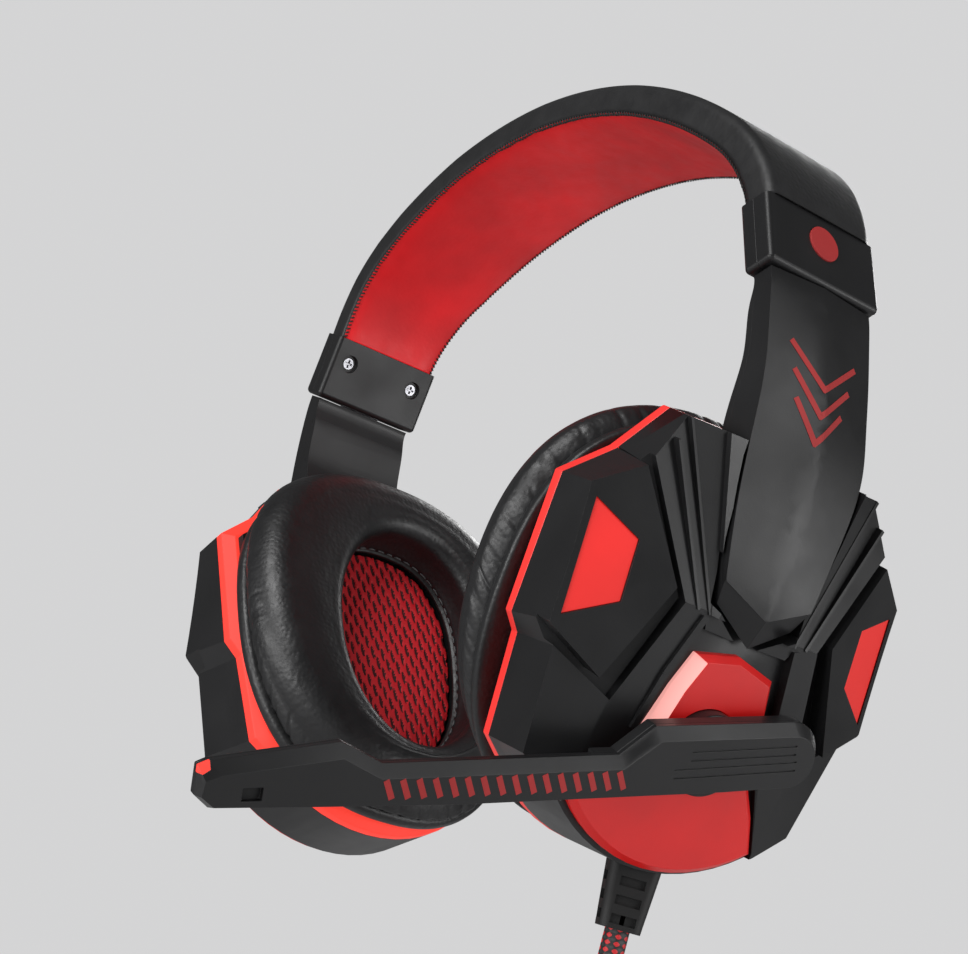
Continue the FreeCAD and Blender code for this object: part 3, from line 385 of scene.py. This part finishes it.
def band_sweep(name, profile, mat):
    """profile(w, at) gives the section as (y, offset), for half width w at a distance along the band."""
    verts = []
    for i in range(STATIONS):
        at = (-1 + 2 * i / (STATIONS - 1)) * BAND_HALF
        turn = turn_at(at)
        points = profile(half_width(arch(turn, 0).x), at)
        for y, offset in points:
            p = arch(turn, offset)
            verts.append((p.x, y, p.z))
    cols = len(points)
    faces = grid_faces(STATIONS, cols, wrap_cols=True)
    faces += [tuple(range(cols)), tuple(range((STATIONS - 1) * cols, STATIONS * cols))[::-1]]
    return add_mesh(name, verts, faces, mat, "headband")


COVER_CORNER, COVER_LOW, COVER_HIGH, COVER_CROWN = 0.0026, 0.0011, 0.0089, 0.0001


def cover_profile(w, at):
    """Rounded outside: crowned top, soft corners, sides down to the seam, closed underneath."""
    r = COVER_CORNER
    points = []
    pull = 0.00012 * sin(at / 0.0042) * (0.6 + 0.4 * sin(at / 0.031))
    for k in range(13):
        a = pi * k / 24
        points.append((w - r + r * cos(a), COVER_HIGH - r + r * sin(a)))
    for k in range(1, 24):
        y = (w - r) * (1 - k / 12)
        points.append((y, COVER_HIGH + COVER_CROWN * (1 - (y / w) ** 2)))
    for k in range(13):
        a = pi / 2 + pi * k / 24
        points.append((-w + r + r * cos(a), COVER_HIGH - r + r * sin(a)))
    seam = [(w - 0.0001, 0.0045), (w - 0.0002 + pull, 0.0024), (w - 0.0005, COVER_LOW),
            (w - 0.0012, COVER_LOW + 0.0003), (w - 0.0028, COVER_LOW + 0.0008)]
    return points + [(-y, o) for y, o in seam] + seam[::-1]


LINING_INSET, LINING_LOW, LINING_BACK = 0.0006, 0.0011, 0.0018
LINING_DOME, LINING_PUCKER, PUCKER_RUN, PUCKER_REACH = 0.0010, 0.00010, 0.00032, 0.06
LINING_STEPS = 34


def lining_profile(w, at):
    """A thin padded strip, full in the middle and drawn down at the seams."""
    edge = w - LINING_INSET
    points = []
    for k in range(LINING_STEPS + 1):
        y = edge * sin(pi / 2 * (2 * k / LINING_STEPS - 1))
        t = abs(y) / edge
        dome = LINING_DOME * (1 - t ** 8)
        pucker = LINING_PUCKER * exp(-((1 - t) / PUCKER_REACH) ** 2) * sin(at / PUCKER_RUN)
        points.append((y, LINING_LOW - dome + pucker))
    return points + [(edge, LINING_BACK), (-edge, LINING_BACK)]


cover = band_sweep("band_cover", cover_profile, black_leather)
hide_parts("headband_cover")
lining = band_sweep("band_lining", lining_profile, red_leather)
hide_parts("headband_lining")

STITCH_PITCH, STITCH_R = 0.00105, 0.00027
STITCH_REACH, STITCH_REACH_VARIES = 0.0011, 0.0004
STITCH_RINGS, STITCH_SIDES = 5, 6


def band_stitches():
    """Overcast stitches: short threads from the cover's edge over onto the lining."""
    verts, faces = [], []
    for side in (-1, 1):
        for i in range(int(2 * BAND_HALF / STITCH_PITCH)):
            at = -BAND_HALF + (i + 0.5) * STITCH_PITCH
            faces += thread_faces(len(verts), STITCH_RINGS, STITCH_SIDES)
            jitter = noise.noise(Vector((i * 0.37, side * 3.1, 0.5)))
            reach = STITCH_REACH + STITCH_REACH_VARIES * jitter
            for k in range(STITCH_RINGS):
                t = k / (STITCH_RINGS - 1)
                turn = turn_at(at + (t - 0.5) * STITCH_PITCH * 0.5)
                w = half_width(arch(turn, 0).x)
                centre = arch(turn, 0.0012 - 0.0004 * t - 0.0003 * sin(t * pi))
                normal = (arch(turn, 0.01) - arch(turn, 0)).normalized()
                along = normal.cross(Vector((0, 1, 0)))
                y = side * (w - 0.0002 - reach * t)
                r = STITCH_R * (1 - 0.5 * (2 * t - 1) ** 2)
                for m in range(STITCH_SIDES):
                    a = 2 * pi * m / STITCH_SIDES
                    place = centre + normal * (r * sin(a)) + along * (r * cos(a))
                    verts.append((place.x, y, place.z))
    obj = add_mesh("band_stitches", verts, faces, black_thread, "headband")


band_stitches()


# ---- cushions, in mm in the cup frame ----
# half width, half height, middle v, roundness, widening towards the top, middle u
FOOT = (43.4, 46.5, 4.4, 2.4, 0.1, 0.0)
CREST = (42.9, 45.5, 7.4, 2.25, 0.1, -2.2)
HOLE_FOOT = (22.0, 29.75, 5.25, 2.5, 0.0, 0.0)
HOLE_CREST = (22.4, 31.0, 5.4, 2.1, 0.0, 1.4)
CREST_N, CREST_R, HOLE_R = -22.0, 8.5, 4.0
PAD_MIDDLE = Vector((0, 6.0))
SEAM_N, PIPING_N = -9.6, -9.0
AROUND, FINE = 900, 7200
GATHER_PITCH, GATHER_DEPTH, PIPING_INSET, SOFT = 5.4, 0.8, 0.1, 0.2
UNFOLDED = 99


def pad_point(form, less, share):
    """Point on a rounded oval, at a share of the way round, moved in by less."""
    half_u, half_v, mid_v, power, widen, mid_u = form
    a = 2 * pi * share
    v = copysign(abs(cos(a)) ** (2 / power), cos(a))
    u = copysign(abs(sin(a)) ** (2 / power), sin(a)) * (1 + widen * v)
    return Vector((mid_u + u * (half_u - less), mid_v + v * (half_v - less)))


def mix(a, b, t):
    return tuple(x + (y - x) * t for x, y in zip(a, b))


def even_shares(form, count):
    """Shares that step evenly round the outline, and the outline's length."""
    fine = [pad_point(form, 0, k / FINE) for k in range(FINE + 1)]
    run = [0.0]
    for p, q in zip(fine, fine[1:]):
        run.append(run[-1] + (q - p).length)
    shares = []
    at = 0
    for k in range(count):
        target = run[-1] * k / count
        while run[at + 1] < target:
            at += 1
        shares.append((at + (target - run[at]) / (run[at + 1] - run[at])) / FINE)
    return shares, run[-1]


SHARES, ROUND_LENGTH = even_shares(FOOT, AROUND)
GATHERS = round(ROUND_LENGTH / GATHER_PITCH)


def gather(k, height):
    """Depth of the pinched folds at this place round the cushion, at a height above the seam."""
    run = k / AROUND

    def wander(radius, seed):
        return noise.noise(Vector((radius * cos(2 * pi * run), radius * sin(2 * pi * run), seed)))

    phase = 2 * pi * (GATHERS * run + 0.55 * wander(12, 0.3))
    amount = 0.45 + 0.9 * wander(17, 4.0)
    reach = 3.4 + 3.2 * wander(23, 8.0)
    fold = (0.5 - 0.5 * cos(phase)) ** 1.6
    return max(0.0, amount) * fold * exp(-(height / max(1.2, reach)) ** 1.5)


def cushion_rows():
    """(outline, moved in, depth n, height above the seam), from the underside over the crest to the hole.

    On the crest's flat, moved in is None, and the first value is the share of the way across it.
    """
    rows = [(FOOT, less, n, UNFOLDED) for less, n in (
        (7.0, -5.45), (3.0, -5.45), (0.6, -5.5), (0.15, -5.8), (0.0, -6.4), (0.0, -7.2), (0.15, -7.9),
        (0.5, -8.4), (1.15, -8.75))]
    rows += [(FOOT, 1.9, -8.9, 0), (FOOT, 1.95, -9.05, 0), (FOOT, 1.35, -9.3, 0.1)]
    for k in range(10):
        t = k / 9
        rows.append((mix(FOOT, CREST, t), 0.75 * (1 - t) ** 2 - 0.25 * sin(pi * t), -9.7 - 3.8 * t,
                     0.4 + 4.2 * t))
    for k in range(1, 17):
        a = pi / 2 * k / 16
        rows.append((CREST, CREST_R * (1 - cos(a)), CREST_N + CREST_R * (1 - sin(a)),
                     4.6 + CREST_R * a))
    for k in range(1, 8):
        t = k / 8
        rows.append((t, None, CREST_N - 0.35 * sin(pi * t), UNFOLDED))
    for k in range(13):
        a = pi / 2 * (1 - k / 12)
        rows.append((HOLE_CREST, -HOLE_R * (1 - cos(a)), CREST_N + HOLE_R * (1 - sin(a)), UNFOLDED))
    for k in range(1, 7):
        t = k / 6
        rows.append((mix(HOLE_CREST, HOLE_FOOT, t), -0.5 * sin(pi * t), -18 + 7.6 * t, UNFOLDED))
    rows += [(HOLE_FOOT, less, n, UNFOLDED) for less, n in (
        (-0.15, -10.25), (-0.7, -10.0), (-0.7, -9.85), (0.1, -9.6), (0.25, -9.1), (0.1, -8.6),
        (-0.3, -7.9), (-0.3, -5.45))]
    return rows


def build_cushion(side):
    matrix = cup_frame(side)
    verts = []
    for form, less, n, height in cushion_rows():
        for k, share in enumerate(SHARES):
            if less is None:
                p = pad_point(CREST, CREST_R, share).lerp(pad_point(HOLE_CREST, -HOLE_R, share), form)
            else:
                p = pad_point(form, less, share)
            inward = (PAD_MIDDLE - p).normalized()
            p = p + inward * (GATHER_DEPTH * gather(k, height) + (PIPING_INSET if n < PIPING_N else 0))
            wavy = SOFT * noise.noise(Vector((p.x * 0.06, p.y * 0.06, n * 0.12))) if n < SEAM_N else 0
            verts.append(matrix @ (Vector((p.x, p.y, n + wavy)) * MM))
    faces = grid_faces(len(verts) // AROUND, AROUND, wrap_rows=True, wrap_cols=True)
    if side == "left":
        faces = [f[::-1] for f in faces]
    obj = add_mesh("pad_" + side, verts, faces, cushion_leather, "cup_" + side)
    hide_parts("cushion_" + side)


HOLE_STITCH_PITCH, HOLE_STITCH_FILL, HOLE_STITCH_N = 2.9, 0.72, -10.75
HOLE_STITCH_R, HOLE_STITCH_SIDES, HOLE_SHARES = 0.00026, 5, 400


def tube(line):
    """Rings of points round a short thread, thinner at its two ends."""
    points = []
    last = len(line) - 1
    for k, p in enumerate(line):
        ahead = (line[min(k + 1, last)] - line[max(k - 1, 0)]).normalized()
        aside = ahead.orthogonal().normalized()
        above = ahead.cross(aside)
        thick = HOLE_STITCH_R * (0.55 if k in (0, last) else 1.0)
        for m in range(HOLE_STITCH_SIDES):
            a = 2 * pi * m / HOLE_STITCH_SIDES
            points.append(p + (aside * cos(a) + above * sin(a)) * thick)
    return points


def hole_stitches(side):
    matrix = cup_frame(side)
    shares, length = even_shares(HOLE_FOOT, HOLE_SHARES)
    count = round(length / HOLE_STITCH_PITCH)
    verts, faces = [], []
    for i in range(count):
        line = []
        for k in range(4):
            at = ((i + HOLE_STITCH_FILL * k / 3) / count * HOLE_SHARES) % HOLE_SHARES
            p = pad_point(HOLE_FOOT, 0.1 - 0.14 * sin(pi * k / 3), shares[int(at)])
            line.append(matrix @ (Vector((p.x, p.y, HOLE_STITCH_N)) * MM))
        faces += thread_faces(len(verts), len(line), HOLE_STITCH_SIDES)
        verts += tube(line)
    obj = add_mesh("hole_stitches_" + side, verts, faces, thread, "cup_" + side)


# ---- ear mesh, in mm in the cup frame ----
KNIT_STEP, KNIT_N, KNIT_V = 0.235, -7.25, 5.25
KNIT_HALF_U, KNIT_HALF_V, KNIT_POWER = 21.7, 29.45, 2.5
KNIT_SAG, KNIT_DENT, KNIT_WEAVE, KNIT_THICK = 0.3, 0.42, 0.05, 0.0003
CELL_U, CELL_V = 3.2, 5.65
ROW_SLOPE, COLUMN_LEAN, STROKE_LEAN = 0.10, 0.044, 0.15
HOLE_U, HOLE_V, HOLE_EDGE, HOLE_SHADE_FROM = 0.60, 1.9, 1.45, 0.3


def hole_depth(u, v):
    """How deep in a hole of the knit this place is, from 0 on the threads to 1 in a hole's middle."""
    v_skew = v - ROW_SLOPE * u
    u_skew = u + COLUMN_LEAN * v_skew
    best = 0.0
    for shift_u, shift_v in ((0, 0), (CELL_U / 2, CELL_V / 2)):
        du = (u_skew - shift_u + CELL_U / 2) % CELL_U - CELL_U / 2
        dv = (v_skew - shift_v + CELL_V / 2) % CELL_V - CELL_V / 2
        reach = ((du + STROKE_LEAN * dv) / HOLE_U) ** 2 + (dv / HOLE_V) ** 2
        best = max(best, min(1.0, max(0.0, HOLE_EDGE - reach)))
    return best


def build_mesh(side):
    matrix = cup_frame(side)
    rows, cols = 2 * ceil(KNIT_HALF_V / KNIT_STEP) + 1, 2 * ceil(KNIT_HALF_U / KNIT_STEP) + 1
    index = {}
    verts, depths = [], []
    for i in range(rows):
        for j in range(cols):
            u = (j - cols // 2) * KNIT_STEP
            v = (i - rows // 2) * KNIT_STEP
            out = (abs(u) / KNIT_HALF_U) ** KNIT_POWER + (abs(v) / KNIT_HALF_V) ** KNIT_POWER
            if out > 1:
                continue
            depth = hole_depth(u, v)
            weave = KNIT_WEAVE * sin(u * 9.0) * sin(v * 8.0)
            n = KNIT_N - KNIT_SAG * (1 - out ** 4) + KNIT_DENT * depth + weave
            index[(i, j)] = len(verts)
            depths.append(depth)
            verts.append(matrix @ (Vector((u, v + KNIT_V, n)) * MM))
    # faces deep in a hole get the dark material: painted shade, since the holes are only dents
    faces, hole_shaded = [], []
    for i, j in index:
        ring = [(i, j), (i, j + 1), (i + 1, j + 1), (i + 1, j)]
        if all(r in index for r in ring):
            face = tuple(index[r] for r in ring)
            faces.append(face[::-1] if side == "left" else face)
            hole_shaded.append(sum(depths[k] for k in face) / 4 > HOLE_SHADE_FROM)
    obj = add_mesh("knit_" + side, verts, faces, mesh_red, "cup_" + side)
    obj.data.materials.append(mesh_hole_shade)
    for polygon, in_hole_shade in zip(obj.data.polygons, hole_shaded):
        polygon.material_index = 1 if in_hole_shade else 0
    thick = obj.modifiers.new("thick", "SOLIDIFY")
    thick.thickness = KNIT_THICK
    thick.offset = 1
    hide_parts("ear_mesh_" + side)


for side in SIDES:
    build_cushion(side)
    hole_stitches(side)
    build_mesh(side)


# ---- marks ----
PRINT_THICK = 0.00003


def printed(name, node, body, outlines, origin, direction, lift):
    """Thin printed shapes laid on a CAD surface: every corner is cast onto it along one direction."""
    data = NODES[node].data
    matrix = NODES[node].matrix_world
    tree = BVHTree.FromPolygons([matrix @ v.co for v in data.vertices],
                                [tuple(p.vertices) for p in data.polygons])
    verts, faces = [], []
    for grid in outlines:
        base = len(verts)
        for row in grid:
            verts += [tree.ray_cast(origin(p), direction)[0] - direction * lift for p in row]
        faces += [tuple(base + i for i in f) for f in grid_faces(len(grid), len(grid[0]))]
    obj = add_mesh(name, verts, faces, red_print, body, smooth=False)
    thick = obj.modifiers.new("thick", "SOLIDIFY")
    thick.thickness = PRINT_THICK


def bar_grid(a, b, width, steps=14):
    """A straight bar from a to b as a grid of points across and along."""
    ahead = (b - a).normalized()
    side = Vector((-ahead.y, ahead.x))
    return [[a.lerp(b, k / steps) + side * w for w in (-width / 2, 0, width / 2)]
            for k in range(steps + 1)]


# top and half width of each arrow shape, in mm
CHEVRONS = ((-69.5, 9.5), (-75.5, 8.0), (-81.5, 6.5))
CHEVRON_Y, CHEVRON_DROP, CHEVRON_OVERLAP, CHEVRON_BAR = 1.0, 8.5, 0.3, 1.3


def chevrons():
    """Three nested arrow shapes, pointing down."""
    grids = []
    for top, half in CHEVRONS:
        tip = Vector((CHEVRON_Y, top - CHEVRON_DROP))
        for hand in (-1, 1):
            grids.append(bar_grid(Vector((CHEVRON_Y + hand * half, top)),
                                  tip + Vector((-hand * CHEVRON_OVERLAP, 0)), CHEVRON_BAR))
    return grids


for side, hand in zip(SIDES, (1, -1)):
    printed("mark_" + side, "arm_outer_" + side, "arm_" + side, chevrons(),
            lambda p: Vector((hand * 0.13, p.x * MM, p.y * MM)), Vector((-hand, 0, 0)), 0.00007)

BOOM_FALL = radians(17.3)
BOOM_ROOT_V, BOOM_CAST_N = -10.4, 0.045
STRIPES, STRIPE_FIRST, STRIPE_PITCH, STRIPE_WIDTH = 16, 24.0, 3.4, 1.25
STRIPE_LOW, STRIPE_HIGH, STRIPE_SLANT = -3.6, 0.2, 1.7


def on_boom(p):
    """A place along and across the boom, in mm, as a point in front of it."""
    u = -cos(BOOM_FALL) * p.x - sin(BOOM_FALL) * p.y
    v = BOOM_ROOT_V - sin(BOOM_FALL) * p.x + cos(BOOM_FALL) * p.y
    return CUP @ Vector((u * MM, v * MM, BOOM_CAST_N))


stripes = []
for k in range(STRIPES):
    foot = STRIPE_FIRST + STRIPE_PITCH * k
    stripes.append(bar_grid(Vector((foot, STRIPE_LOW)), Vector((foot + STRIPE_SLANT, STRIPE_HIGH)),
                            STRIPE_WIDTH, 3))
printed("boom_mark", "boom_outer", "mic_boom", stripes, on_boom,
        CUP.to_3x3() @ Vector((0, 0, -1)), 0.00006)


# ---- cord ----
# the route in metres at the boot, and then in mm: x from the coil's middle, y and z in the row's frame
BOOT_POINTS = [(0.05447, 0.0074, -0.1903), (0.0539, 0.0074, -0.1950), (0.05268, 0.0074, -0.205)]
LEAD = [(-4.6, 6.3, -217), (-9.4, 4.7, -227), (-11.0, 3.2, -236.5), (-8.6, 2.5, -245)]
TAIL = [(6.2, 13.6, -246), (10.8, 13.2, -253), (13.4, 12.4, -260), (13.6, 12.3, -270),
        (13.6, 12.3, -285), (13.6, 12.3, -300)]
COIL = Vector((0.05268, 0.03765, -0.250))
COIL_R, COIL_TURNS, PER_TURN, CHANGE_OVER = 30.25, 9, 16, 30.0
# each turn's place in the bundle, in mm across and out
SLOTS = [(-5.6, 4.9), (0, 4.9), (5.6, 4.9), (8.4, 0), (2.8, 0), (-2.8, 0), (-8.4, 0), (-5.6, -4.9),
         (0, -4.9), (5.6, -4.9)]


def beside_coil(route):
    return [(COIL.x + x * MM, y * MM, z * MM) for x, y, z in route]


def coil_point(turn):
    """Point after this many turns. Each turn ends by changing over to the next place in the bundle."""
    whole = int(turn)
    angle = 360 * (turn - whole)
    leave = 360 - CHANGE_OVER * (whole + 1)
    t = min(1.0, max(0.0, (angle - leave) / CHANGE_OVER))
    x, lift = mix(SLOTS[whole], SLOTS[whole + 1], t * t * (3 - 2 * t))
    # control points lie outside the curve that they shape
    r = (COIL_R + lift) / cos(pi / PER_TURN) ** 2 * MM
    a = pi + radians(angle)
    return (COIL.x + x * MM, COIL.y + r * cos(a), COIL.z + r * sin(a))


def build_cord():
    """Down from the boot, nine turns of a bundled coil, and down again to the plug: one curve."""
    coil = [coil_point(k / PER_TURN) for k in range(COIL_TURNS * PER_TURN)]
    points = BOOT_POINTS + beside_coil(LEAD) + coil + beside_coil(TAIL)
    curve = bpy.data.curves.new("cord", "CURVE")
    curve.dimensions = "3D"
    curve.bevel_depth = CORD_D / 2
    curve.bevel_resolution = 5
    curve.use_fill_caps = True
    spline = curve.splines.new("NURBS")
    spline.points.add(len(points) - 1)
    for point, place in zip(spline.points, points):
        point.co = (*place, 1)
    spline.order_u = 3
    spline.use_endpoint_u = True
    spline.resolution_u = 6
    obj = bpy.data.objects.new("cord", curve)
    scene.collection.objects.link(obj)
    curve.materials.append(braid("cord_braid"))
    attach(obj, "cup_left")
    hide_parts("cable_lead", "cable_coil", "cable_tail")


build_cord()


# ---- studio ----
def area(name, at, target, size, power):
    """A soft lamp that the camera can't see."""
    data = bpy.data.lights.new(name, "AREA")
    data.shape = "RECTANGLE"
    data.size, data.size_y = size
    data.energy = power
    obj = bpy.data.objects.new(name, data)
    scene.collection.objects.link(obj)
    obj.visible_camera = False
    obj.location = at
    obj.rotation_euler = (Vector(target) - Vector(at)).to_track_quat("-Z", "Y").to_euler()


MIDDLE = (0.03, 0, -0.10)
area("key", (0.35, -0.80, 0.50), MIDDLE, (0.5, 0.5), 7.8)
area("side", (0.95, 0.35, 0.10), MIDDLE, (0.3, 0.7), 3)
area("rim", (-0.4, 0.75, 0.40), MIDDLE, (0.5, 0.5), 6)
area("front", (0.1, -0.9, -0.17), MIDDLE, (0.9, 0.2), 5.5)
area("low", (0.50, 0.42, -0.15), (0.06, 0, -0.13), (0.3, 0.16), 1.0)

# the far wall lights the object dimly, and the camera sees it pale
world = bpy.data.worlds.new("studio")
scene.world = world
world.use_nodes = True
nodes, links = world.node_tree.nodes, world.node_tree.links
dim = nodes["Background"]
dim.inputs["Color"].default_value = (0.5, 0.5, 0.505, 1)
dim.inputs["Strength"].default_value = 0.28
pale = nodes.new("ShaderNodeBackground")
pale.inputs["Color"].default_value = (0.66, 0.66, 0.665, 1)
ray = nodes.new("ShaderNodeLightPath")
both = nodes.new("ShaderNodeMixShader")
links.new(ray.outputs["Is Camera Ray"], both.inputs[0])
links.new(dim.outputs[0], both.inputs[1])
links.new(pale.outputs[0], both.inputs[2])
links.new(both.outputs[0], nodes["World Output"].inputs[0])

FLOOR_R, FLOOR_SIDES, FLOOR_GAP = 1.3, 96, 0.001
floor_z = cad_box[0][2] - FLOOR_GAP
turns = [2 * pi * k / FLOOR_SIDES for k in range(FLOOR_SIDES)]
floor = add_mesh("floor", [(FLOOR_R * cos(t), FLOOR_R * sin(t), floor_z) for t in turns],
                 [tuple(range(FLOOR_SIDES))],
                 Shader("floor_pale", (0.58, 0.58, 0.585), 0.9, specular=0.2).mat, None)
